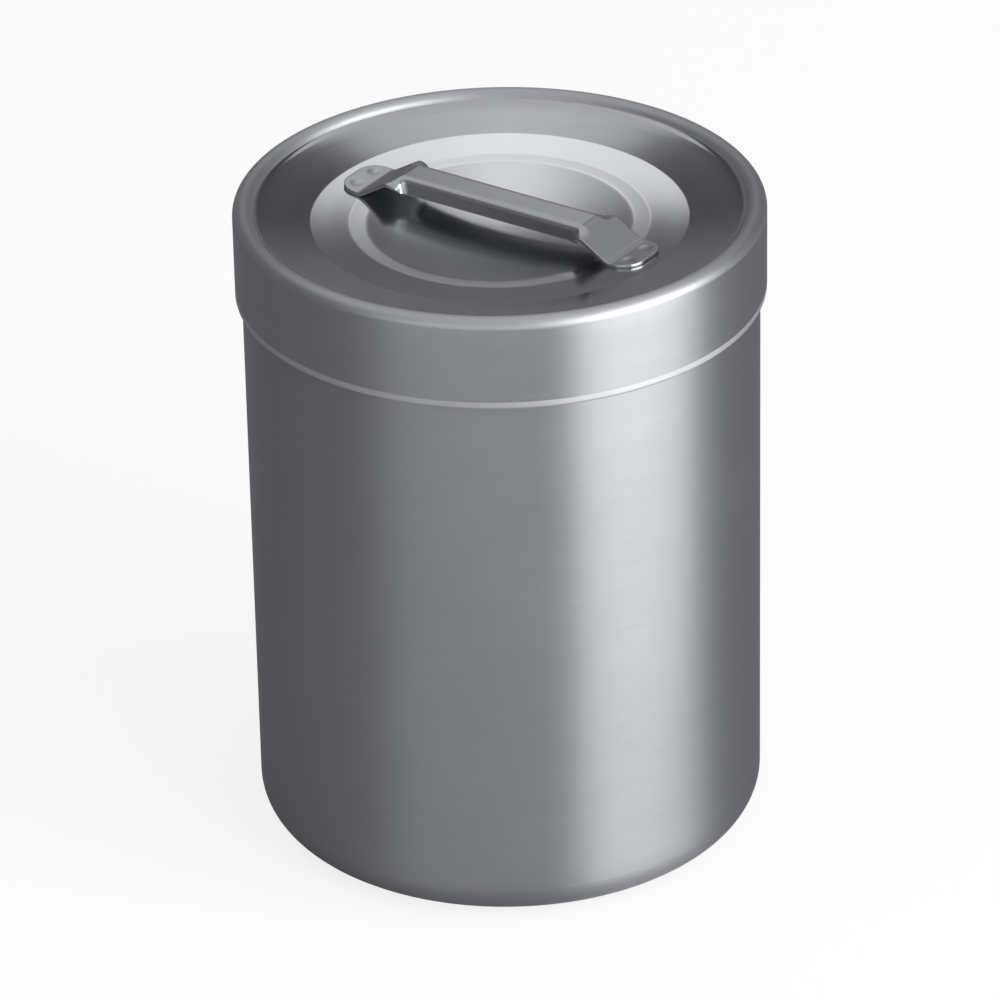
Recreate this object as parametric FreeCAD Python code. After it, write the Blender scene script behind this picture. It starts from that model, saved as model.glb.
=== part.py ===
import FreeCAD, Part

import math
import os

from FreeCAD import Vector

# Covered dressing jar in sheet metal, millimetres, +Z up.
# The origin is the centre of the base, on the surface that the jar stands on.
# The handle on the cover runs along X.

# Jar body
jar_height = 162.5
jar_radius = 61.9
jar_sheet = 0.7
base_corner_radius = 9.1
standing_ring_width = 5.8
base_panel_rise = 1.2
base_panel_slope_run = 3.0
base_panel_bend = 3.0
mouth_hem_height = 4.0
hem_gap = 0.1

# Cover: depths are measured down from the top of the crest to the sheet's upper face, the land's
# at its inner edge, and the well's down from its own edge, inside the flat ring round it
cover_sheet = 0.6
cover_clearance = 0.3
seat_clearance = 0.3
skirt_length = 22.9
skirt_hem_height = 3.2
crest_radius = 2.4
lip_angle = 60.0
lip_depth = 2.2
lip_bend = 2.5
dish_width = 13.4
land_depth = 5.5
land_slope_angle = 5.0
land_bend = 5.0
land_width = 9.4
ring_width = 4.0
ring_slope_angle = 1.5
ring_bend = 15.0
well_depth = 1.9
well_edge_run = 1.5

# Strap handle: one strip, folded and bent
strap_sheet = 0.8
strap_width = 15.0
flange_height = 4.3
flange_bend = 1.2
strap_rise = 5.7
leg_run = 9.4
foot_length = 7.0
foot_margin = 2.9
foot_weld_gap = 0.1
leg_bend = 2.5
foot_corner_radius = 5.2
flange_run_out = 5.5
run_out_sections = 12

# Sizes that follow: the jar
base_panel_radius = jar_radius - base_corner_radius - standing_ring_width - base_panel_slope_run

# Sizes that follow: the cover, with radii and heights on the mid line of its sheet
cover_radius = jar_radius + cover_clearance + 2 * cover_sheet + hem_gap
cover_wall_radius = cover_radius - cover_sheet / 2
crest_top = jar_height + seat_clearance + cover_sheet
crest_bend = crest_radius - cover_sheet / 2
lip_slope = math.radians(lip_angle)
lip_start_radius = cover_wall_radius - crest_bend - crest_bend * math.tan(lip_slope / 2)
lip_end_radius = lip_start_radius - lip_depth / math.tan(lip_slope)
land_outer_radius = lip_end_radius - dish_width
land_inner_radius = land_outer_radius - land_width
land_slope = math.radians(land_slope_angle)
land_rise = land_width * math.tan(land_slope)
land_outer_top = crest_top - land_depth + land_rise

# Sizes that follow: the strap
foot_end_position = land_outer_radius - foot_margin
foot_bend_position = foot_end_position - foot_length
foot_end_height = land_outer_top - foot_margin * math.tan(land_slope) + foot_weld_gap + strap_sheet / 2
foot_bend_height = foot_end_height - foot_length * math.tan(land_slope)
grip_half_length = foot_bend_position - leg_run

NODES = {}


def point(r, z):
    """A point of a profile: distance from the axis, or along the strap, and height."""
    return Vector(r, 0, z)


def left_of(direction):
    """The unit vector to the left of a direction in the profile's plane."""
    return Vector(-direction.z, 0, direction.x)


def direction_between(start, end):
    """The unit vector from one point to another."""
    step = end - start
    return step / step.Length


def corner_arc(before, corner, after, bend):
    """Centre, start, middle and end of the arc that rounds a corner, and +1 for a left turn."""
    arriving = direction_between(before, corner)
    leaving = direction_between(corner, after)
    turn = arriving.getAngle(leaving)
    side = 1.0 if left_of(arriving).dot(leaving) > 0 else -1.0
    reach = bend * math.tan(turn / 2)
    start = corner - arriving * reach
    end = corner + leaving * reach
    centre = start + left_of(arriving) * (bend * side)
    middle = centre + direction_between(centre, corner) * bend
    return centre, start, middle, end, side


def side_edges(points, bends, shift):
    """Edges of one face of a bent sheet, at a sideways distance from its mid line."""
    edges = []
    here = points[0] + left_of(direction_between(points[0], points[1])) * shift
    for index, bend in enumerate(bends):
        centre, start, middle, end, side = corner_arc(*points[index:index + 3], bend)
        share = (bend - side * shift) / bend
        start, middle, end = [centre + (each - centre) * share for each in (start, middle, end)]
        if (start - here).Length > 1e-6:
            edges.append(Part.LineSegment(here, start).toShape())
        edges.append(Part.Arc(start, middle, end).toShape())
        here = end
    last = points[-1] + left_of(direction_between(points[-2], points[-1])) * shift
    if (last - here).Length > 1e-6:
        edges.append(Part.LineSegment(here, last).toShape())
    return edges


def sheet_section(points, bends, thickness):
    """The face of a bent sheet's section, from its mid line and the bend at each corner."""
    left = side_edges(points, bends, thickness / 2)
    right = side_edges(points, bends, -thickness / 2)
    start_cap = Part.LineSegment(right[0].Vertexes[0].Point, left[0].Vertexes[0].Point).toShape()
    end_cap = Part.LineSegment(left[-1].Vertexes[-1].Point, right[-1].Vertexes[-1].Point).toShape()
    loop = Part.__sortEdges__([start_cap] + left + [end_cap] + right[::-1])
    return Part.Face(Part.Wire(loop))


def spun(section):
    """A sheet section turned once round the jar's axis."""
    return section.revolve(Vector(0, 0, 0), Vector(0, 0, 1), 360)


def make_jar_body():
    """The drawn cup: raised base panel, standing ring, wall and folded mouth."""
    half = jar_sheet / 2
    fold_step = jar_sheet + hem_gap
    wall = jar_radius - half
    panel = half + base_panel_rise
    points = [
        point(0, panel),
        point(base_panel_radius, panel),
        point(base_panel_radius + base_panel_slope_run, half),
        point(wall, half),
        point(wall, jar_height - half),
        point(wall - fold_step, jar_height - half),
        point(wall - fold_step, jar_height - mouth_hem_height),
    ]
    bends = [base_panel_bend, base_panel_bend, base_corner_radius - half, fold_step / 2, fold_step / 2]
    return spun(sheet_section(points, bends, jar_sheet))


def make_cover():
    """The slip-over cover: folded skirt, crest, lip, dish, land, ring and finger well."""
    half = cover_sheet / 2
    fold_step = cover_sheet + hem_gap
    wall = cover_wall_radius
    skirt_bottom = crest_top - skirt_length + half
    crest = crest_top - half
    land = crest - land_depth
    well_radius = land_inner_radius - ring_width
    well_edge = land - ring_width * math.tan(math.radians(ring_slope_angle))
    well_bottom = well_edge - well_depth
    well_middle = (well_radius - well_edge_run) / 2
    well_slope = math.atan2(well_depth, well_radius - well_middle)
    well_bend = well_middle / math.tan(well_slope / 2)
    points = [
        point(wall - fold_step, skirt_bottom + skirt_hem_height),
        point(wall - fold_step, skirt_bottom),
        point(wall, skirt_bottom),
        point(wall, crest),
        point(lip_start_radius, crest),
        point(lip_end_radius, crest - lip_depth),
        point(land_outer_radius, land + land_rise),
        point(land_inner_radius, land),
        point(well_radius, well_edge),
        point(well_middle, well_bottom),
        point(0, well_bottom),
    ]
    bends = [fold_step / 2, fold_step / 2, crest_bend, crest_bend, lip_bend, land_bend,
             ring_bend, ring_bend, well_bend]
    return spun(sheet_section(points, bends, cover_sheet))


def strap_mid_line():
    """Corners of the strap's mid line from the middle of the grip out to the end of a foot."""
    return [
        point(0, foot_bend_height + strap_rise),
        point(grip_half_length, foot_bend_height + strap_rise),
        point(foot_bend_position, foot_bend_height),
        point(foot_end_position, foot_end_height),
    ]


def strap_station(distance):
    """Place and direction of the strap's mid line near the upper bend of a leg."""
    corners = strap_mid_line()
    centre, start, middle, end, side = corner_arc(*corners[0:3], leg_bend)
    along = direction_between(corners[0], corners[1])
    down = direction_between(corners[1], corners[2])
    to_bend = (start - corners[0]).Length
    arc_length = leg_bend * along.getAngle(down)
    if distance <= to_bend:
        return corners[0] + along * distance, along
    if distance >= to_bend + arc_length:
        return end + down * (distance - to_bend - arc_length), down
    angle = (distance - to_bend) / leg_bend
    heading = Vector(math.cos(angle), 0, -math.sin(angle))
    return centre + left_of(heading) * leg_bend, heading


def flange_outline(fold, shift):
    """Half of one face of the strap's cross-section: flat, bend and flange, for a fold angle."""
    straight = flange_height - flange_bend - strap_sheet / 2
    bend_length = flange_bend * math.pi / 2
    flat = strap_width / 2 - bend_length - straight
    if fold < 1e-6:
        stops = [flat, flat + bend_length / 2, flat + bend_length, strap_width / 2]
        return [(across, shift) for across in stops]
    radius = bend_length / fold
    outline = [(flat, shift)]
    for angle in (fold / 2, fold):
        across = flat + (radius + shift) * math.sin(angle)
        outline.append((across, (radius + shift) * math.cos(angle) - radius))
    across, up = outline[-1]
    outline.append((across + straight * math.cos(fold), up - straight * math.sin(fold)))
    return outline


def strap_cross_section(distance, fold):
    """Closed wire of the strap's cross-section at a distance from the middle of the grip."""
    place, heading = strap_station(distance)
    normal = left_of(heading)

    def spot(across, up):
        return place + normal * up + Vector(0, across, 0)

    def half_edges(outline, sign):
        spots = [spot(sign * across, up) for across, up in outline]
        if fold < 1e-6:
            bend = Part.LineSegment(spots[0], spots[2]).toShape()
        else:
            bend = Part.Arc(*spots[0:3]).toShape()
        return [bend, Part.LineSegment(spots[2], spots[3]).toShape()]

    upper = flange_outline(fold, strap_sheet / 2)
    lower = flange_outline(fold, -strap_sheet / 2)
    edges = []
    for sign in (1, -1):
        edges += half_edges(upper, sign)
        edges += half_edges(lower, sign)
        tips = [spot(sign * across, up) for across, up in (upper[-1], lower[-1])]
        edges.append(Part.LineSegment(*tips).toShape())
    for outline in (upper, lower):
        across, up = outline[0]
        edges.append(Part.LineSegment(spot(-across, up), spot(across, up)).toShape())
    return Part.Wire(Part.__sortEdges__(edges))


def make_strap_end():
    """Half of the strap outside the grip: the flanges flatten out, then leg, bend and foot."""
    corners = strap_mid_line()
    start = grip_half_length - flange_run_out / 2
    end = start + flange_run_out
    sections = []
    for index in range(run_out_sections):
        share = index / (run_out_sections - 1)
        eased = share * share * (3 - 2 * share)
        fold = (1 - eased) * math.pi / 2
        sections.append(strap_cross_section(start + share * flange_run_out, fold))
    run_out = Part.makeLoft(sections, True, False)
    place, heading = strap_station(end)
    leg = sheet_section([place, corners[2], corners[3]], [leg_bend], strap_sheet)
    leg.translate(Vector(0, -strap_width / 2, 0))
    leg = leg.extrude(Vector(0, strap_width, 0))
    foot_corners = [edge for edge in leg.Edges if is_foot_corner(edge)]
    leg = leg.makeFillet(foot_corner_radius, foot_corners)
    return run_out.fuse(leg)


def is_foot_corner(edge):
    """Whether an edge is one of the two upright corners at the end of a foot."""
    upright = abs(edge.tangentAt(edge.FirstParameter).z) > 0.99
    return upright and edge.CenterOfMass.x > foot_end_position - 0.01


def make_strap_handle():
    """The whole strap: channel-shaped grip with the same leg and foot at both ends."""
    start = grip_half_length - flange_run_out / 2
    channel = Part.Face(strap_cross_section(start, math.pi / 2))
    grip = channel.extrude(Vector(-2 * start, 0, 0))
    right_end = make_strap_end()
    left_end = right_end.mirror(Vector(0, 0, 0), Vector(1, 0, 0))
    return grip.fuse([right_end, left_end]).removeSplitter()


NODES["jar_body"] = make_jar_body()
NODES["cover"] = make_cover()
NODES["strap_handle"] = make_strap_handle()

os.makedirs("parts", exist_ok=True)
for name, shape in NODES.items():
    solid = shape.Solids[0] if len(shape.Solids) == 1 else shape
    print(name, "valid", solid.isValid(), "solids", len(shape.Solids), "volume", round(solid.Volume, 1))
    solid.exportStep("parts/" + name + ".step")
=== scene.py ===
"""Covered dressing jar in satin steel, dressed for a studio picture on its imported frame."""

import logging
import math
from dataclasses import dataclass
from enum import Enum, IntEnum
from typing import Sequence

import bpy
from mathutils import Matrix, Vector


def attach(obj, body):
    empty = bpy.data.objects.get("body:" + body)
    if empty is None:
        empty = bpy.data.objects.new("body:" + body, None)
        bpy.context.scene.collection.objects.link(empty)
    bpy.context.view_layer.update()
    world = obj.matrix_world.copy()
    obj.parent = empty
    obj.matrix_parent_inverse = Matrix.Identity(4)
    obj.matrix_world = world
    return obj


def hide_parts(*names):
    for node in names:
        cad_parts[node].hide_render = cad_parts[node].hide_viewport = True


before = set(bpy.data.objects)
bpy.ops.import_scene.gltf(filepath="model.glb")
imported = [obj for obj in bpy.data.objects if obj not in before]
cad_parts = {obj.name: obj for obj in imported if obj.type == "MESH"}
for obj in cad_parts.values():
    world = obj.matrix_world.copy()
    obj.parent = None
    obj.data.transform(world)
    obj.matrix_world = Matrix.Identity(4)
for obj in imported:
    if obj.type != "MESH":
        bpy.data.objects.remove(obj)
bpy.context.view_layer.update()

MM = 0.001
SAME_PLACE = MM * 1e-3
MERGE_REACH = MM * 2e-3
SMOOTH_ANGLE_DEG = 35.0
LOG = logging.getLogger("dressing_jar")


# Tools for modelling

def take_new(name: str) -> bpy.types.Object:
    """Names the object that an operator has just added.

    Args:
        name: The object's name, and its mesh's.

    Returns:
        The object.
    """
    piece = bpy.context.active_object
    piece.name = piece.data.name = name
    return piece


def start_piece(name: str, place: Vector) -> bpy.types.Object:
    """Adds a small plane and gathers it into one vertex, ready to be drawn into a line.

    Args:
        name: The piece's name.
        place: Where the first vertex lies, in metres.

    Returns:
        The new object, in edit mode with its vertex selected.
    """
    bpy.ops.object.select_all(action="DESELECT")
    bpy.ops.mesh.primitive_plane_add(size=MM, location=(0, 0, 0))
    piece = take_new(name)
    bpy.ops.object.mode_set(mode="EDIT")
    bpy.ops.mesh.select_mode(type="VERT")
    bpy.ops.mesh.select_all(action="SELECT")
    bpy.ops.mesh.merge(type="CENTER")
    bpy.ops.transform.translate(value=place)
    return piece


def apply_modifier(piece: bpy.types.Object, kind: str, settings: dict[str, object]) -> None:
    """Adds one modifier to a piece, sets it and applies it.

    Args:
        piece: The object to change, in object mode.
        kind: The modifier's type, such as SOLIDIFY.
        settings: Its property names and values.
    """
    bpy.context.view_layer.objects.active = piece
    modifier = piece.modifiers.new(kind.title(), kind)
    for key, value in settings.items():
        setattr(modifier, key, value)
    bpy.ops.object.modifier_apply(modifier=modifier.name)


def thicken(piece: bpy.types.Object, thickness: float) -> None:
    """Gives a sheet its thickness, half on each side of its mid surface.

    Args:
        piece: The sheet, in object mode.
        thickness: The sheet's thickness in millimetres.
    """
    apply_modifier(piece, "SOLIDIFY", {
        "thickness": thickness * MM, "offset": 0.0, "use_even_offset": True})


def smooth_piece(piece: bpy.types.Object) -> None:
    """Shades a piece smooth, with its sharper edges kept."""
    bpy.ops.object.select_all(action="DESELECT")
    piece.select_set(True)
    bpy.context.view_layer.objects.active = piece
    bpy.ops.object.shade_smooth_by_angle(angle=math.radians(SMOOTH_ANGLE_DEG))


def leftward(heading: Vector) -> Vector:
    """The way to the left of a heading in the XZ plane."""
    return Vector((-heading.z, 0.0, heading.x))


@dataclass(frozen=True)
class StraightRun:
    """A straight run of a sheet's mid line.

    Attributes:
        start: Where the run begins.
        heading: The way that it goes.
        length: How long it is.
    """

    start: Vector
    heading: Vector
    length: float

    def station(self, far: float) -> tuple[Vector, Vector]:
        """Place and heading at a distance from the run's start."""
        return self.start + self.heading * far, self.heading


@dataclass(frozen=True)
class Bend:
    """A round bend of a sheet's mid line in the XZ plane.

    Attributes:
        start: Where the bend begins.
        end: Where it ends.
        centre: The point that it turns about.
        arriving: The heading at its start.
        radius: Its radius.
        turn: How far it turns, in radians.
        side: 1 where it turns to the left of its heading, -1 where it turns to the right.
    """

    start: Vector
    end: Vector
    centre: Vector
    arriving: Vector
    radius: float
    turn: float
    side: float

    @property
    def length(self) -> float:
        """The bend's length along its arc."""
        return self.radius * self.turn

    def station(self, far: float) -> tuple[Vector, Vector]:
        """Place and heading at a distance from the bend's start."""
        heading = Matrix.Rotation(-self.side * far / self.radius, 3, "Y") @ self.arriving
        return self.centre - leftward(heading) * (self.radius * self.side), heading


def bend_at(before: Vector, corner: Vector, after: Vector, radius: float) -> Bend:
    """Rounds a corner of a mid line into a bend.

    Args:
        before: The corner before it.
        corner: The corner that is rounded.
        after: The corner after it.
        radius: The bend's radius, in the same unit as the corners.

    Returns:
        The bend.
    """
    arriving = (corner - before).normalized()
    leaving = (after - corner).normalized()
    turn = arriving.angle(leaving)
    side = 1.0 if arriving.cross(leaving).y < 0 else -1.0
    reach = radius * math.tan(turn / 2)
    start = corner - arriving * reach
    centre = start + leftward(arriving) * (radius * side)
    return Bend(start, corner + leaving * reach, centre, arriving, radius, turn, side)


@dataclass
class SheetLine:
    """The mid line of a bent sheet in the XZ plane, drawn with extrude and spin.

    Attributes:
        corners: The line's corners, as distance from the axis and height, in millimetres.
        bends: The bend radius at each inner corner, in millimetres, or 0 for a plain vertex.
        run_step: The longest stretch between two vertices of a straight run, in millimetres.
        bend_step_deg: The largest turn between two vertices of a bend.
        bend_steps: The least number of steps of a bend.
    """

    corners: Sequence[tuple[float, float]]
    bends: Sequence[float]
    run_step: float = 4.0
    bend_step_deg: float = 7.5
    bend_steps: int = 2

    def corner(self, index: int) -> Vector:
        """A corner as a point in space, in metres."""
        across, up = self.corners[index]
        return Vector((across, 0.0, up)) * MM

    def draw(self, name: str) -> bpy.types.Object:
        """Draws the line as a chain of edges.

        Args:
            name: The new piece's name.

        Returns:
            The object, in edit mode.
        """
        here = self.corner(0)
        piece = start_piece(name, here)
        for index, radius in enumerate(self.bends):
            before, corner, after = (self.corner(index + each) for each in range(3))
            if radius == 0.0:
                here = self.run_to(here, corner)
                continue
            bend = bend_at(before, corner, after, radius * MM)
            here = self.run_to(here, bend.start)
            steps = max(self.bend_steps, math.ceil(math.degrees(bend.turn) / self.bend_step_deg))
            bpy.ops.mesh.spin(steps=steps, angle=bend.turn, center=bend.centre,
                              axis=(0, bend.side, 0), use_auto_merge=False)
            here = bend.end
        self.run_to(here, self.corner(len(self.corners) - 1))
        return piece

    def run_to(self, here: Vector, target: Vector) -> Vector:
        """Extrudes the selected vertex in even steps along a straight run.

        Args:
            here: Where the selected vertex is.
            target: Where the run ends.

        Returns:
            The run's end.
        """
        run = target - here
        if run.length < SAME_PLACE:
            return here
        steps = max(1, math.ceil(run.length / (self.run_step * MM)))
        for _ in range(steps):
            bpy.ops.mesh.extrude_region_move(TRANSFORM_OT_translate={"value": run / steps})
        return target


def turn_sheet(line: SheetLine, name: str, thickness: float, steps: int) -> bpy.types.Object:
    """Turns a sheet's mid line round the jar's axis and gives it its thickness.

    Args:
        line: The sheet's mid line.
        name: The new piece's name.
        thickness: The sheet's thickness in millimetres.
        steps: How many steps the full turn has.

    Returns:
        The finished shell, in object mode.
    """
    piece = line.draw(name)
    bpy.ops.mesh.select_all(action="SELECT")
    bpy.ops.mesh.spin(steps=steps, angle=math.tau, center=(0, 0, 0), axis=(0, 0, 1),
                      use_auto_merge=False)
    bpy.ops.mesh.select_all(action="SELECT")
    bpy.ops.mesh.remove_doubles(threshold=MERGE_REACH)
    bpy.ops.mesh.normals_make_consistent(inside=False)
    bpy.ops.object.mode_set(mode="OBJECT")
    thicken(piece, thickness)
    return piece


# Finishes

@dataclass(frozen=True)
class NodeBoard:
    """A short way to add and link shader nodes.

    Attributes:
        tree: The node tree that is being wired.
    """

    tree: bpy.types.NodeTree

    def feed(self, node: bpy.types.Node, inputs: dict[str | int, object]) -> None:
        """Sets a node's input sockets.

        Args:
            node: The node.
            inputs: Values for its input sockets, or output sockets to link them to.
        """
        for key, value in inputs.items():
            if isinstance(value, bpy.types.NodeSocket):
                self.tree.links.new(value, node.inputs[key])
            else:
                node.inputs[key].default_value = value

    def add(self, kind: str, inputs: dict[str | int, object] | None = None,
            **settings: object) -> bpy.types.Node:
        """Adds a node.

        Args:
            kind: The node's type name, without its ShaderNode prefix.
            inputs: Values or output sockets for its input sockets.
            settings: The node's own properties.

        Returns:
            The new node.
        """
        node = self.tree.nodes.new("ShaderNode" + kind)
        for key, value in settings.items():
            setattr(node, key, value)
        self.feed(node, inputs or {})
        return node

    def maths(self, operation: str, *values: object) -> bpy.types.NodeSocket:
        """The result of one maths operation."""
        node = self.add("Math", dict(enumerate(values)), operation=operation)
        return node.outputs[0]

    def vector(self, operation: str, *values: object) -> bpy.types.Node:
        """A node that does one vector operation."""
        return self.add("VectorMath", dict(enumerate(values)), operation=operation)

    def scaled(self, values: object, share: object) -> bpy.types.NodeSocket:
        """A colour or vector times one number."""
        node = self.vector("SCALE", values)
        self.feed(node, {"Scale": share})
        return node.outputs[0]

    def carried(self, value: bpy.types.NodeSocket, source: tuple[float, float],
                target: tuple[float, float]) -> bpy.types.NodeSocket:
        """A value carried from one range into another, and held inside it."""
        node = self.add("MapRange", {0: value, 1: source[0], 2: source[1],
                                     3: target[0], 4: target[1]})
        return node.outputs[0]


class Grain(Enum):
    """Which way the fine brushed lines of a finish run."""

    ROUND_AXIS = "round the jar's axis"
    ALONG_STRIP = "along the handle"


@dataclass(frozen=True)
class SatinSteel:
    """Brushed stainless steel: fine lines one way, soft cloudiness and a stretched gloss.

    Attributes:
        name: The material's name.
        tint: The metal's colour.
        roughness: How matt the finish is.
        stretch: How far the gloss is drawn out across the lines, 0 to 1.
        line_depth: Depth of the brushed lines in the bump, in metres.
        grain: Which way the lines run.
        fine_lines: Fine lines to a millimetre, and how far they vary along the grain.
        broad_lines: The same for the broad lines.
        fine_share: The fine lines' part in the pattern, where the broad ones have the rest.
        line_detail: Detail and roughness of the lines' noise.
        cloud_size: Scale and detail of the soft clouds' noise.
        shade_span: The stretch of both noises that becomes shade.
        line_shades: The darkest and the lightest shade of the lines.
        cloud_shades: The darkest and the lightest shade of the clouds.
        roughness_span: The stretch of the lines' noise that varies the roughness.
        roughness_spread: How far the roughness varies, as a share of it.
    """

    name: str
    tint: tuple[float, float, float]
    roughness: float
    stretch: float
    line_depth: float
    grain: Grain = Grain.ROUND_AXIS
    fine_lines: tuple[float, float] = (6.0, 14.0)
    broad_lines: tuple[float, float] = (0.9, 3.0)
    fine_share: float = 0.65
    line_detail: tuple[float, float] = (2.0, 0.6)
    cloud_size: tuple[float, float] = (26.0, 3.0)
    shade_span: tuple[float, float] = (0.3, 0.7)
    line_shades: tuple[float, float] = (0.95, 1.03)
    cloud_shades: tuple[float, float] = (0.97, 1.02)
    roughness_span: tuple[float, float] = (0.25, 0.75)
    roughness_spread: float = 0.07

    def line_noise(self, board: NodeBoard, place: bpy.types.NodeSocket,
                   lines: tuple[float, float]) -> bpy.types.NodeSocket:
        """Noise that is drawn out along the brushed lines.

        Args:
            board: The material's node board.
            place: The object coordinates.
            lines: Lines to a millimetre across the grain, and how far they vary along it.

        Returns:
            The noise value.
        """
        per_metre, along = lines[0] / MM, lines[1]
        detail, roughness = self.line_detail
        texture = {"Scale": 1.0, "Detail": detail, "Roughness": roughness}
        if self.grain is Grain.ALONG_STRIP:
            spot = board.vector("MULTIPLY", place, (along, per_metre, per_metre))
            return board.add("TexNoise", {"Vector": spot.outputs[0], **texture}).outputs["Fac"]
        parts = board.add("SeparateXYZ", {0: place})
        flat = board.add("CombineXYZ", {0: parts.outputs[0], 1: parts.outputs[1]})
        reach = board.vector("LENGTH", flat.outputs[0])
        heading = board.vector("NORMALIZE", flat.outputs[0])
        turned = board.add("SeparateXYZ", {0: board.scaled(heading.outputs[0], along)})
        distance = board.maths("MULTIPLY", reach.outputs["Value"], per_metre)
        height = board.maths("MULTIPLY", parts.outputs[2], per_metre)
        spot = board.add("CombineXYZ", {0: turned.outputs[0], 1: turned.outputs[1], 2: distance})
        noise = board.add("TexNoise", {"Vector": spot.outputs[0], "W": height, **texture},
                          noise_dimensions="4D")
        return noise.outputs["Fac"]

    def colour(self, board: NodeBoard, place: bpy.types.NodeSocket,
               lines: bpy.types.NodeSocket) -> bpy.types.NodeSocket:
        """The metal's colour, shaded a little by the lines and by soft clouds.

        Args:
            board: The material's node board.
            place: The object coordinates.
            lines: The pattern of the lines.

        Returns:
            The colour.
        """
        scale, detail = self.cloud_size
        cloud = board.add("TexNoise", {"Vector": place, "Scale": scale, "Detail": detail})
        shade = board.maths(
            "MULTIPLY", board.carried(lines, self.shade_span, self.line_shades),
            board.carried(cloud.outputs["Fac"], self.shade_span, self.cloud_shades))
        return board.scaled(self.tint, shade)

    def gloss_way(self, board: NodeBoard, place: bpy.types.NodeSocket) -> bpy.types.NodeSocket:
        """The way on the surface, square to the lines, in which the gloss is drawn out.

        Args:
            board: The material's node board.
            place: The object coordinates.

        Returns:
            The direction.
        """
        along: object = (1.0, 0.0, 0.0)
        if self.grain is Grain.ROUND_AXIS:
            along = board.vector("CROSS_PRODUCT", (0.0, 0.0, 1.0), place).outputs[0]
        normal = board.add("NewGeometry").outputs["Normal"]
        return board.vector("CROSS_PRODUCT", along, normal).outputs[0]

    def make(self) -> bpy.types.Material:
        """Builds the material.

        Returns:
            The new material.
        """
        material = bpy.data.materials.new(self.name)
        material.use_nodes = True
        board = NodeBoard(material.node_tree)
        place = board.add("TexCoord").outputs["Object"]
        fine = self.line_noise(board, place, self.fine_lines)
        broad = self.line_noise(board, place, self.broad_lines)
        lines = board.maths("ADD", board.maths("MULTIPLY", fine, self.fine_share),
                            board.maths("MULTIPLY", broad, 1.0 - self.fine_share))
        least, most = (self.roughness * (1.0 + sign * self.roughness_spread) for sign in (-1, 1))
        bump = board.add("Bump", {"Height": fine, "Strength": 1.0, "Distance": self.line_depth})
        board.feed(material.node_tree.nodes["Principled BSDF"], {
            "Base Color": self.colour(board, place, lines),
            "Metallic": 1.0,
            "Roughness": board.carried(lines, self.roughness_span, (least, most)),
            "Anisotropic": self.stretch,
            "Normal": bump.outputs[0],
            "Tangent": self.gloss_way(board, place),
        })
        return material


class CoverZone(IntEnum):
    """The parts of the cover that have a steel of their own."""

    FACE = 0
    WELL = 1
    RIM = 2
    SKIRT = 3
    # The band along the skirt's folded edge, given a paler steel as a painted highlight.
    HEM = 4


WALL_TINT = (0.50, 0.51, 0.53)
COVER_TINT = (0.52, 0.53, 0.55)
# A paler steel colour for the hem band: a painted highlight where the skirt's folded edge catches
# the light.
HEM_PAINTED_HIGHLIGHT_TINT = (0.70, 0.71, 0.73)

JAR_STEEL = SatinSteel("jar_steel_satin", WALL_TINT, roughness=0.42, stretch=0.75,
                       line_depth=1.2e-6)
COVER_STEELS = {
    CoverZone.FACE: SatinSteel("cover_steel_satin", COVER_TINT, roughness=0.155, stretch=0.3,
                               line_depth=0.8e-6),
    CoverZone.WELL: SatinSteel("cover_steel_well", COVER_TINT, roughness=0.2, stretch=0.3,
                               line_depth=0.8e-6),
    CoverZone.RIM: SatinSteel("cover_steel_rim", WALL_TINT, roughness=0.50, stretch=0.5,
                              line_depth=1.0e-6),
    CoverZone.SKIRT: SatinSteel("cover_steel_skirt", COVER_TINT, roughness=0.40, stretch=0.75,
                                line_depth=1.2e-6),
    # The hem band's paler steel is a painted highlight along the skirt's folded edge.
    CoverZone.HEM: SatinSteel("cover_steel_hem_painted_highlight", HEM_PAINTED_HIGHLIGHT_TINT, roughness=0.55, stretch=0.4,
                              line_depth=1.0e-6),
}
HANDLE_STEEL = SatinSteel("handle_steel_satin", WALL_TINT, roughness=0.3, stretch=0.6,
                          line_depth=1.0e-6, grain=Grain.ALONG_STRIP)


# The jar's pieces

@dataclass
class DrawnJar:
    """The drawn cup: raised base panel, standing ring, wall and folded mouth, in millimetres."""

    height: float = 162.5
    radius: float = 61.9
    sheet: float = 0.7
    base_corner_radius: float = 9.1
    standing_ring_width: float = 5.8
    panel_rise: float = 1.2
    panel_slope_run: float = 3.0
    panel_bend: float = 3.0
    hem_height: float = 4.0
    hem_gap: float = 0.1
    turn_steps: int = 240

    def line(self) -> SheetLine:
        """Draws up the mid line of the jar's sheet.

        Returns:
            The line from the middle of the base to the hem's edge.
        """
        half = self.sheet / 2
        fold = self.sheet + self.hem_gap
        wall = self.radius - half
        panel_radius = (self.radius - self.base_corner_radius - self.standing_ring_width
                        - self.panel_slope_run)
        corners = [
            (0.0, half + self.panel_rise),
            (panel_radius, half + self.panel_rise),
            (panel_radius + self.panel_slope_run, half),
            (wall, half),
            (wall, self.height - half),
            (wall - fold, self.height - half),
            (wall - fold, self.height - self.hem_height),
        ]
        bends = [self.panel_bend, self.panel_bend, self.base_corner_radius - half,
                 fold / 2, fold / 2]
        return SheetLine(corners, bends)

    def build(self, finish: SatinSteel) -> bpy.types.Object:
        """Builds and dresses the jar.

        Args:
            finish: The jar's steel.

        Returns:
            The jar.
        """
        piece = turn_sheet(self.line(), "jar_wall", self.sheet, self.turn_steps)
        smooth_piece(piece)
        piece.data.materials.append(finish.make())
        return piece


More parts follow.
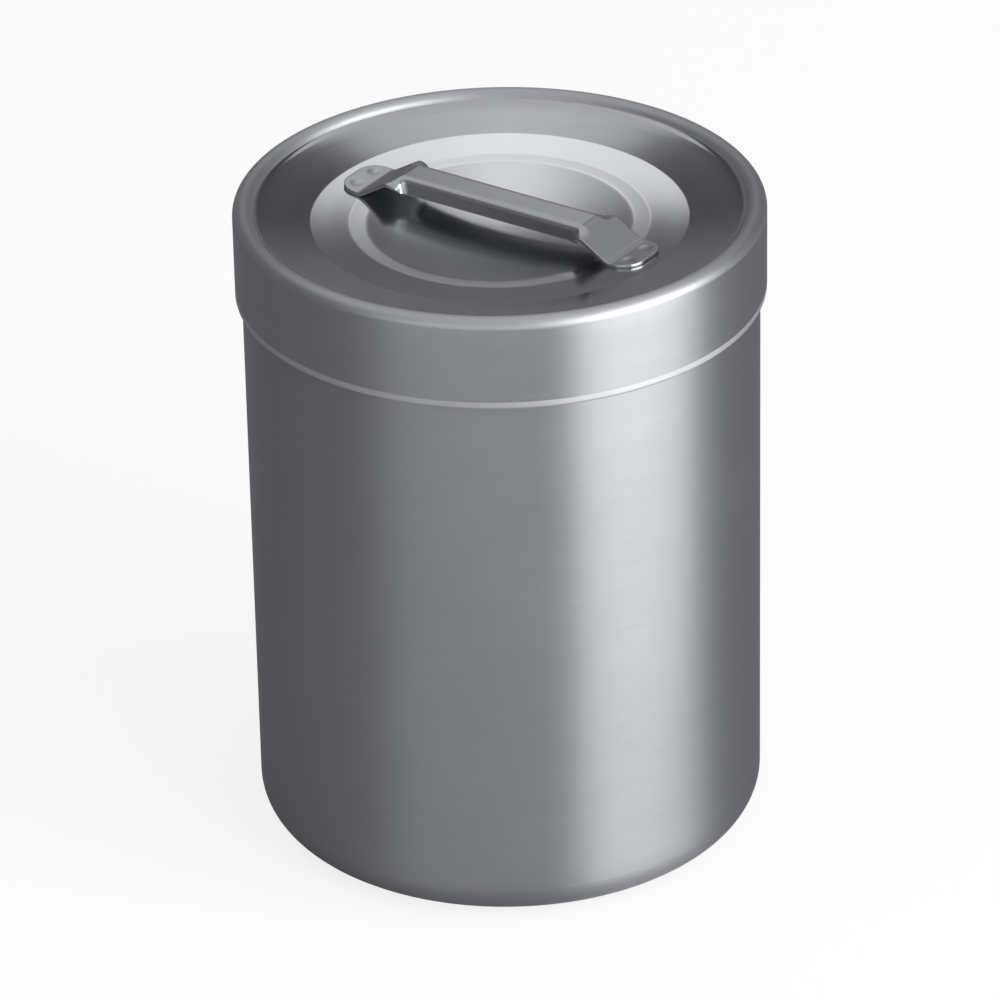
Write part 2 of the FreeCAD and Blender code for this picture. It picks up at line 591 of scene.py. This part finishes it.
@dataclass
class PressedCover:
    """The slip-over cover: folded skirt, crest, lip, dish, land, ring and well, in millimetres."""

    crest_top: float = 163.4
    radius: float = 63.5
    sheet: float = 0.6
    hem_gap: float = 0.1
    skirt_length: float = 22.9
    skirt_hem_height: float = 3.2
    # Height of the band above the skirt's bottom that is painted paler, as a painted highlight.
    hem_painted_highlight_height: float = 1.9
    crest_radius: float = 2.4
    lip_angle: float = 60.0
    lip_depth: float = 2.2
    lip_bend: float = 2.5
    dish_width: float = 13.4
    land_depth: float = 5.5
    land_slope: float = 5.0
    land_bend: float = 5.0
    land_width: float = 9.4
    ring_width: float = 4.0
    ring_slope: float = 1.5
    ring_bend: float = 15.0
    well_depth: float = 1.9
    well_edge_run: float = 1.5
    bend_steps: int = 4
    turn_steps: int = 240

    @property
    def lip_start_radius(self) -> float:
        """Radius at which the crest turns down into the lip."""
        crest_bend = self.crest_radius - self.sheet / 2
        wall = self.radius - self.sheet / 2
        return wall - crest_bend - crest_bend * math.tan(math.radians(self.lip_angle) / 2)

    @property
    def lip_end_radius(self) -> float:
        """Radius at which the lip meets the dish."""
        return self.lip_start_radius - self.lip_depth / math.tan(math.radians(self.lip_angle))

    @property
    def land_outer_radius(self) -> float:
        """Radius at which the dish meets the land."""
        return self.lip_end_radius - self.dish_width

    @property
    def well_radius(self) -> float:
        """Radius of the well's edge, inside the nearly flat ring."""
        return self.land_outer_radius - self.land_width - self.ring_width

    @property
    def land_outer_top(self) -> float:
        """Height of the land's upper face at its outer edge."""
        rise = self.land_width * math.tan(math.radians(self.land_slope))
        return self.crest_top - self.land_depth + rise

    def line(self) -> SheetLine:
        """Draws up the mid line of the cover's sheet.

        Returns:
            The line from the skirt's hem to the middle of the well.
        """
        half = self.sheet / 2
        fold = self.sheet + self.hem_gap
        wall = self.radius - half
        bottom = self.crest_top - self.skirt_length + half
        crest = self.crest_top - half
        crest_bend = self.crest_radius - half
        land = crest - self.land_depth
        well_edge = land - self.ring_width * math.tan(math.radians(self.ring_slope))
        well_bottom = well_edge - self.well_depth
        well_middle = (self.well_radius - self.well_edge_run) / 2
        well_slope = math.atan2(self.well_depth, self.well_radius - well_middle)
        corners = [
            (wall - fold, bottom + self.skirt_hem_height),
            (wall - fold, bottom),
            (wall, bottom),
            # A plain vertex at the top of the hem band that carries the painted highlight.
            (wall, bottom + self.hem_painted_highlight_height - half),
            (wall, crest),
            (self.lip_start_radius, crest),
            (self.lip_end_radius, crest - self.lip_depth),
            (self.land_outer_radius, self.land_outer_top - half),
            (self.land_outer_radius - self.land_width, land),
            (self.well_radius, well_edge),
            (well_middle, well_bottom),
            (0.0, well_bottom),
        ]
        bends = [fold / 2, fold / 2, 0.0, crest_bend, crest_bend, self.lip_bend, self.land_bend,
                 self.ring_bend, self.ring_bend, well_middle / math.tan(well_slope / 2)]
        return SheetLine(corners, bends, bend_steps=self.bend_steps)

    def zone(self, place: Vector) -> CoverZone:
        """Finds the part of the cover that a place belongs to.

        Args:
            place: A face's middle, in metres.

        Returns:
            The part.
        """
        reach, height = place.xy.length / MM, place.z / MM
        if reach < self.well_radius:
            return CoverZone.WELL
        if height < self.crest_top - self.crest_radius and reach > self.lip_start_radius:
            # Below this height the skirt takes the paler steel of the painted highlight.
            hem_top = self.crest_top - self.skirt_length + self.hem_painted_highlight_height
            return CoverZone.SKIRT if height > hem_top else CoverZone.HEM
        return CoverZone.RIM if reach > self.lip_end_radius else CoverZone.FACE

    def build(self, finishes: dict[CoverZone, SatinSteel]) -> bpy.types.Object:
        """Builds and dresses the cover.

        Args:
            finishes: The steel of each of its parts.

        Returns:
            The cover.
        """
        piece = turn_sheet(self.line(), "cover_shell", self.sheet, self.turn_steps)
        smooth_piece(piece)
        for zone in CoverZone:
            piece.data.materials.append(finishes[zone].make())
        for face in piece.data.polygons:
            face.material_index = self.zone(face.center)
        return piece


@dataclass
class FoldedStrap:
    """The handle: one strip with folded flanges, two legs and two welded feet, in millimetres."""

    cover: PressedCover
    sheet: float = 0.8
    width: float = 15.0
    flange_height: float = 4.3
    flange_bend: float = 1.2
    rise: float = 5.7
    leg_run: float = 9.4
    foot_length: float = 7.0
    foot_margin: float = 2.9
    weld_gap: float = 0.1
    leg_bend: float = 2.5
    foot_corner_radius: float = 5.2
    foot_corner_steps: int = 12
    run_out: float = 5.5
    edge_round: float = 0.12
    edge_steps: int = 2
    edge_angle: float = 50.0
    weld_spread: float = 3.6
    weld_inset: float = 3.5
    weld_radius: float = 1.9
    weld_depth: float = 0.08
    grip_scores: int = 20
    fine_score_step: float = 0.36
    fine_score_lead: float = 1.0
    least_fold: float = 1e-4

    def corners(self) -> list[Vector]:
        """Finds the corners of one half of the handle's mid line.

        Returns:
            The corners from the middle of the grip to the end of a foot.
        """
        slope = math.tan(math.radians(self.cover.land_slope))
        tip = self.cover.land_outer_radius - self.foot_margin
        tip_up = (self.cover.land_outer_top - self.foot_margin * slope + self.weld_gap
                  + self.sheet / 2)
        bend, bend_up = tip - self.foot_length, tip_up - self.foot_length * slope
        return [Vector((0.0, 0.0, bend_up + self.rise)),
                Vector((bend - self.leg_run, 0.0, bend_up + self.rise)),
                Vector((bend, 0.0, bend_up)),
                Vector((tip, 0.0, tip_up))]

    def stretches(self) -> list[StraightRun | Bend]:
        """Cuts one half of the mid line into straight runs and bends.

        Returns:
            The stretches from the middle of the grip to the end of a foot.
        """
        corners = self.corners()
        found: list[StraightRun | Bend] = []
        here = corners[0]
        for before, corner, after in zip(corners, corners[1:], corners[2:]):
            bend = bend_at(before, corner, after, self.leg_bend)
            found += [StraightRun(here, bend.arriving, (bend.start - here).length), bend]
            here = bend.end
        foot, tip = corners[-2:]
        found.append(StraightRun(here, (tip - foot).normalized(), (tip - here).length))
        return found

    def station(self, far: float) -> tuple[Vector, Vector]:
        """Finds a place on the mid line.

        Args:
            far: The distance along the line from the middle of the grip.

        Returns:
            The place and the line's heading there.
        """
        stretches = self.stretches()
        for stretch in stretches[:-1]:
            if far <= stretch.length:
                return stretch.station(far)
            far -= stretch.length
        return stretches[-1].station(far)

    def fold_start(self) -> float:
        """Distance from the middle of the grip at which the flanges begin to flatten out."""
        return self.corners()[1].x - self.run_out / 2

    def fold(self, far: float) -> float:
        """How far the flanges are folded down at a distance along the strip, in radians."""
        share = min(1.0, max(0.0, (far - self.fold_start()) / self.run_out))
        return (1.0 - share * share * (3.0 - 2.0 * share)) * math.pi / 2

    def section(self, across: float, fold: float) -> tuple[float, float]:
        """Folds one half of the strip's section.

        Args:
            across: Distance across the flat strip from its middle.
            fold: How far the flange is folded down, in radians.

        Returns:
            How far out and how far up the spot lies once the flange is folded.
        """
        bend_length = self.flange_bend * math.pi / 2
        straight = self.flange_height - self.flange_bend - self.sheet / 2
        flat = self.width / 2 - bend_length - straight
        over = across - flat
        if over <= 0.0 or fold < self.least_fold:
            return across, 0.0
        radius = bend_length / fold
        angle = min(1.0, over / bend_length) * fold
        beyond = max(0.0, over - bend_length)
        out = flat + radius * math.sin(angle) + beyond * math.cos(fold)
        return out, radius * (math.cos(angle) - 1.0) - beyond * math.sin(fold)

    def press(self, far: float, across: float) -> Vector:
        """Finds where a spot of the flat strip lies once the strip is folded and bent.

        Args:
            far: Distance along the strip from its middle.
            across: Distance across it from its middle.

        Returns:
            The folded place, in metres.
        """
        place, heading = self.station(abs(far))
        out, up = self.section(abs(across), self.fold(abs(far)))
        folded = place + leftward(heading) * up + Vector((0.0, math.copysign(out, across), 0.0))
        return Vector((math.copysign(folded.x, far), folded.y, folded.z)) * MM

    def cut_blank(self, half_length: float) -> bpy.types.Object:
        """Cuts the flat strip with rounded ends and scores it where it will bend.

        Args:
            half_length: Half the flat strip's length.

        Returns:
            The blank, in edit mode.
        """
        bpy.ops.object.select_all(action="DESELECT")
        bpy.ops.mesh.primitive_plane_add(size=MM, location=(0, 0, 0))
        blank = take_new("strap_grip")
        bpy.ops.object.mode_set(mode="EDIT")
        bpy.ops.mesh.select_all(action="SELECT")
        bpy.ops.transform.resize(value=(2 * half_length, self.width, 1.0))
        bpy.ops.mesh.bevel(affect="VERTICES", offset=self.foot_corner_radius * MM,
                           segments=self.foot_corner_steps)
        fine_start = self.fold_start() - self.fine_score_lead
        fine_length = half_length - fine_start
        fine_scores = int(fine_length / self.fine_score_step)
        stations = [step * fine_start / self.grip_scores for step in range(self.grip_scores + 1)]
        stations += [fine_start + (step + 1) * fine_length / (fine_scores + 1)
                     for step in range(fine_scores)]
        for station in stations:
            for place in {station, -station}:
                self.score(Vector((place, 0.0, 0.0)), Vector((1.0, 0.0, 0.0)))
        rows = int(self.width / 2 / self.fine_score_step)
        for row in range(-rows, rows + 1):
            self.score(Vector((0.0, row * self.fine_score_step, 0.0)), Vector((0.0, 1.0, 0.0)))
        return blank

    @staticmethod
    def score(place: Vector, normal: Vector) -> None:
        """Cuts the whole mesh along one plane, given in millimetres."""
        bpy.ops.mesh.select_all(action="SELECT")
        bpy.ops.mesh.bisect(plane_co=place * MM, plane_no=normal)

    def press_welds(self, piece: bpy.types.Object, half_length: float) -> None:
        """Presses the shallow round weld marks into both feet.

        Args:
            piece: The folded strip, in object mode.
            half_length: Half the flat strip's length.
        """
        tilt = math.radians(self.cover.land_slope)
        for end in (-1.0, 1.0):
            down = Vector((end * math.sin(tilt), 0.0, -math.cos(tilt))) * MM
            for side in (-1.0, 1.0):
                centre = self.press(end * (half_length - self.weld_inset), side * self.weld_spread)
                for vertex in piece.data.vertices:
                    share = (vertex.co - centre).length / (self.weld_radius * MM)
                    if share < 1.0:
                        vertex.co += down * self.weld_depth * (1.0 - share ** 3) ** 2

    def build(self, finish: SatinSteel) -> bpy.types.Object:
        """Builds and dresses the handle.

        Args:
            finish: The handle's steel.

        Returns:
            The handle.
        """
        half_length = sum(stretch.length for stretch in self.stretches())
        piece = self.cut_blank(half_length)
        bpy.ops.object.mode_set(mode="OBJECT")
        for vertex in piece.data.vertices:
            vertex.co = self.press(vertex.co.x / MM, vertex.co.y / MM)
        self.press_welds(piece, half_length)
        bpy.ops.object.mode_set(mode="EDIT")
        bpy.ops.mesh.select_all(action="SELECT")
        bpy.ops.mesh.normals_make_consistent(inside=False)
        bpy.ops.object.mode_set(mode="OBJECT")
        thicken(piece, self.sheet)
        apply_modifier(piece, "BEVEL", {
            "width": self.edge_round * MM, "segments": self.edge_steps,
            "limit_method": "ANGLE", "angle_limit": math.radians(self.edge_angle)})
        smooth_piece(piece)
        piece.data.materials.append(finish.make())
        return piece


# The studio

def direction(azimuth: float, elevation: float) -> Vector:
    """The way from the jar to a place in the studio.

    Args:
        azimuth: Degrees round from the front, to the right.
        elevation: Degrees above the horizon.

    Returns:
        The direction, one metre long.
    """
    turn, rise = math.radians(azimuth), math.radians(elevation)
    return Vector((math.sin(turn) * math.cos(rise), -math.cos(turn) * math.cos(rise),
                   math.sin(rise)))


@dataclass(frozen=True)
class PhotoCamera:
    """The camera at the picture's viewing angle.

    Attributes:
        azimuth: Degrees round from the front, to the right.
        elevation: Degrees above the horizon.
        roll: Degrees of turn about the line of sight.
        distance: Metres from the point that it looks at.
        aim_height: Height of that point on the jar's axis, in metres.
        lens: Focal length in millimetres.
        sensor_width: Width of the sensor in millimetres.
        shift: Sideways and upward shift of the picture.
        clip: The nearest and the furthest that it sees, in metres.
    """

    azimuth: float = 34.3
    elevation: float = 28.92
    roll: float = -1.15
    distance: float = 1.6174
    aim_height: float = 0.0817
    lens: float = 239.53
    sensor_width: float = 36.0
    shift: tuple[float, float] = (-0.0054, 0.0001)
    clip: tuple[float, float] = (0.05, 50.0)

    @property
    def aim(self) -> Vector:
        """The point that the camera looks at."""
        return Vector((0.0, 0.0, self.aim_height))

    def make(self) -> None:
        """Makes the camera and sets it as the scene's."""
        data = bpy.data.cameras.new("photo_camera")
        data.lens, data.sensor_width = self.lens, self.sensor_width
        data.shift_x, data.shift_y = self.shift
        data.clip_start, data.clip_end = self.clip
        camera = bpy.data.objects.new("photo_camera", data)
        bpy.context.scene.collection.objects.link(camera)
        back = direction(self.azimuth, self.elevation)
        turn = (-back).to_track_quat("-Z", "Y").to_matrix().to_4x4()
        roll = Matrix.Rotation(math.radians(self.roll), 4, "Z")
        camera.matrix_world = Matrix.Translation(self.aim + back * self.distance) @ turn @ roll
        bpy.context.scene.camera = camera


class LampShape(Enum):
    """The outline of a lamp's face."""

    OBLONG = "RECTANGLE"
    OVAL = "ELLIPSE"

    @property
    def share(self) -> float:
        """The part of its box that the outline fills."""
        return 1.0 if self is LampShape.OBLONG else math.pi / 4


@dataclass(frozen=True)
class SoftLamp:
    """A soft lamp that points at the jar.

    Attributes:
        name: The lamp's name.
        azimuth: Degrees round from the camera, to the right.
        elevation: Degrees above the horizon.
        distance: Metres from the jar's middle.
        size: Width and height in metres.
        brightness: How bright its face looks, where 1 is white.
        shape: The outline of its face.
    """

    name: str
    azimuth: float
    elevation: float
    distance: float
    size: tuple[float, float]
    brightness: float
    shape: LampShape = LampShape.OBLONG

    def make(self, camera: PhotoCamera) -> None:
        """Makes the lamp.

        Args:
            camera: The camera, which it stands round from and whose aim it lights.
        """
        data = bpy.data.lights.new(self.name, "AREA")
        data.shape = self.shape.value
        data.size, data.size_y = self.size
        data.energy = self.brightness * math.pi * self.size[0] * self.size[1] * self.shape.share
        lamp = bpy.data.objects.new(self.name, data)
        bpy.context.scene.collection.objects.link(lamp)
        back = direction(camera.azimuth + self.azimuth, self.elevation)
        lamp.location = camera.aim + back * self.distance
        lamp.rotation_mode = "QUATERNION"
        lamp.rotation_quaternion = (-back).to_track_quat("-Z", "Y")
        lamp.visible_camera = False


LAMPS = (
    SoftLamp("key_lamp", azimuth=56.5, elevation=15.0, distance=1.3, size=(1.32, 0.9),
             brightness=6.3),
    SoftLamp("back_lamp", azimuth=180.3, elevation=36.4, distance=1.6, size=(0.155, 0.45),
             brightness=1.42, shape=LampShape.OVAL),
    SoftLamp("front_lamp", azimuth=-18.0, elevation=12.0, distance=1.5, size=(1.9, 0.7),
             brightness=1.4),
)


@dataclass(frozen=True)
class PalePaper:
    """The floor's pale paper, slightly mottled.

    Attributes:
        name: The material's name.
        tint: The paper's colour.
        whiteness: How far it looks plain white to the camera, 0 to 1.
        roughness: How matt it is.
        specular: How much it shines.
        mottle_size: Scale and detail of its mottle.
        mottle_shades: The darkest and the lightest shade of its mottle.
    """

    name: str = "pale_paper"
    tint: tuple[float, float, float] = (0.86, 0.86, 0.87)
    whiteness: float = 0.8
    roughness: float = 0.9
    specular: float = 0.1
    mottle_size: tuple[float, float] = (3.0, 2.0)
    mottle_shades: tuple[float, float] = (0.985, 1.01)

    def make(self) -> bpy.types.Material:
        """Builds the material.

        Returns:
            The new material.
        """
        material = bpy.data.materials.new(self.name)
        material.use_nodes = True
        board = NodeBoard(material.node_tree)
        scale, detail = self.mottle_size
        mottle = board.add("TexNoise", {"Vector": board.add("TexCoord").outputs["Object"],
                                        "Scale": scale, "Detail": detail}).outputs["Fac"]
        shade = board.carried(mottle, (0.0, 1.0), self.mottle_shades)
        shader = material.node_tree.nodes["Principled BSDF"]
        board.feed(shader, {"Base Color": board.scaled(self.tint, shade),
                            "Roughness": self.roughness, "Specular IOR Level": self.specular})
        white = board.add("Emission", {"Color": (1.0, 1.0, 1.0, 1.0), "Strength": 1.0})
        seen = board.maths("MULTIPLY", board.add("LightPath").outputs["Is Camera Ray"],
                           self.whiteness)
        mixed = board.add("MixShader", {0: seen, 1: shader.outputs[0], 2: white.outputs[0]})
        board.feed(material.node_tree.nodes["Material Output"], {"Surface": mixed.outputs[0]})
        return material


@dataclass(frozen=True)
class MattCloth:
    """A matt cloth of one grey, or of a grey that pales towards its foot.

    Attributes:
        name: The material's name.
        shade: The cloth's grey.
        foot_shade: The grey of its lowest part, if that differs.
        foot_span: Where it pales, from its foot grey to its own, in metres from its middle.
        blue_share: How much bluer than a plain grey it is, where it has one grey.
    """

    name: str
    shade: float
    foot_shade: float | None = None
    foot_span: tuple[float, float] = (-0.25, 0.15)
    blue_share: float = 1.03

    def make(self) -> bpy.types.Material:
        """Builds the material.

        Returns:
            The new material.
        """
        material = bpy.data.materials.new(self.name)
        material.use_nodes = True
        board = NodeBoard(material.node_tree)
        grey: object = (self.shade, self.shade, self.shade * self.blue_share, 1.0)
        if self.foot_shade is not None:
            place = board.add("SeparateXYZ", {0: board.add("TexCoord").outputs["Object"]})
            grey = board.carried(place.outputs[2], self.foot_span, (self.foot_shade, self.shade))
        board.feed(material.node_tree.nodes["Principled BSDF"], {
            "Base Color": grey, "Roughness": 1.0, "Specular IOR Level": 0.0})
        return material


@dataclass(frozen=True)
class Studio:
    """The floor, the screen, the apron, the room light and the lamps, in metres."""

    floor: PalePaper = PalePaper()
    screen: MattCloth = MattCloth("dark_cloth", 0.1, foot_shade=0.24)
    apron: MattCloth = MattCloth("grey_cloth", 0.2)
    room_tint: tuple[float, float, float] = (0.7, 0.7, 0.71)
    floor_radius: float = 6.0
    screen_radius: float = 2.4
    screen_height: float = 2.17
    apron_radius: float = 0.057
    apron_lift: float = 0.0005
    round_steps: int = 96

    def make_floor(self) -> None:
        """Makes the pale floor."""
        bpy.ops.object.select_all(action="DESELECT")
        bpy.ops.mesh.primitive_circle_add(vertices=self.round_steps, radius=self.floor_radius,
                                          fill_type="NGON", location=(0, 0, 0))
        piece = take_new("studio_floor")
        piece.data.materials.append(self.floor.make())

    def make_screen(self) -> None:
        """Makes the dark screen that stands round the set and shows only in reflections."""
        bpy.ops.object.select_all(action="DESELECT")
        bpy.ops.mesh.primitive_cylinder_add(vertices=self.round_steps, radius=self.screen_radius,
                                            depth=self.screen_height, end_fill_type="NOTHING",
                                            location=(0, 0, self.screen_height / 2))
        piece = take_new("dark_screen")
        piece.data.materials.append(self.screen.make())
        self.keep_to_reflections(piece)

    def make_apron(self) -> None:
        """Makes the grey cloth round the jar's foot that shows only in reflections."""
        bpy.ops.object.select_all(action="DESELECT")
        bpy.ops.mesh.primitive_circle_add(vertices=self.round_steps, radius=self.screen_radius,
                                          fill_type="NGON", location=(0, 0, self.apron_lift))
        piece = take_new("grey_apron")
        bpy.ops.object.mode_set(mode="EDIT")
        bpy.ops.mesh.select_all(action="SELECT")
        bpy.ops.mesh.inset(thickness=self.screen_radius - self.apron_radius, use_boundary=True)
        bpy.ops.mesh.delete(type="FACE")
        bpy.ops.object.mode_set(mode="OBJECT")
        piece.data.materials.append(self.apron.make())
        self.keep_to_reflections(piece)

    @staticmethod
    def keep_to_reflections(piece: bpy.types.Object) -> None:
        """Hides a piece of the set from everything but glossy reflections."""
        piece.visible_camera = piece.visible_diffuse = False
        piece.visible_shadow = piece.visible_transmission = False

    def make_room(self) -> None:
        """Sets the even light of the room."""
        world = bpy.data.worlds.new("room_light")
        bpy.context.scene.world = world
        world.use_nodes = True
        NodeBoard(world.node_tree).feed(world.node_tree.nodes["Background"], {
            "Color": (*self.room_tint, 1.0), "Strength": 1.0})

    def build(self, camera: PhotoCamera) -> None:
        """Builds the whole set.

        Args:
            camera: The camera that the lamps stand round from.
        """
        self.make_floor()
        self.make_screen()
        self.make_apron()
        self.make_room()
        for lamp in LAMPS:
            lamp.make(camera)


def main() -> None:
    """Builds the jar and its studio."""
    logging.basicConfig(level=logging.INFO, format="%(name)s: %(message)s")
    bpy.context.scene.view_settings.view_transform = "Standard"
    jar = DrawnJar().build(JAR_STEEL)
    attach(jar, "jar")
    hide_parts("jar_body")
    pressed = PressedCover()
    cover = pressed.build(COVER_STEELS)
    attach(cover, "cover")
    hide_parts("cover")
    strap = FoldedStrap(pressed).build(HANDLE_STEEL)
    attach(strap, "cover")
    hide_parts("strap_handle")
    for piece in (jar, cover, strap):
        LOG.info("%s: %d faces", piece.name, len(piece.data.polygons))
    camera = PhotoCamera()
    camera.make()
    Studio().build(camera)


if __name__ == "__main__":
    main()
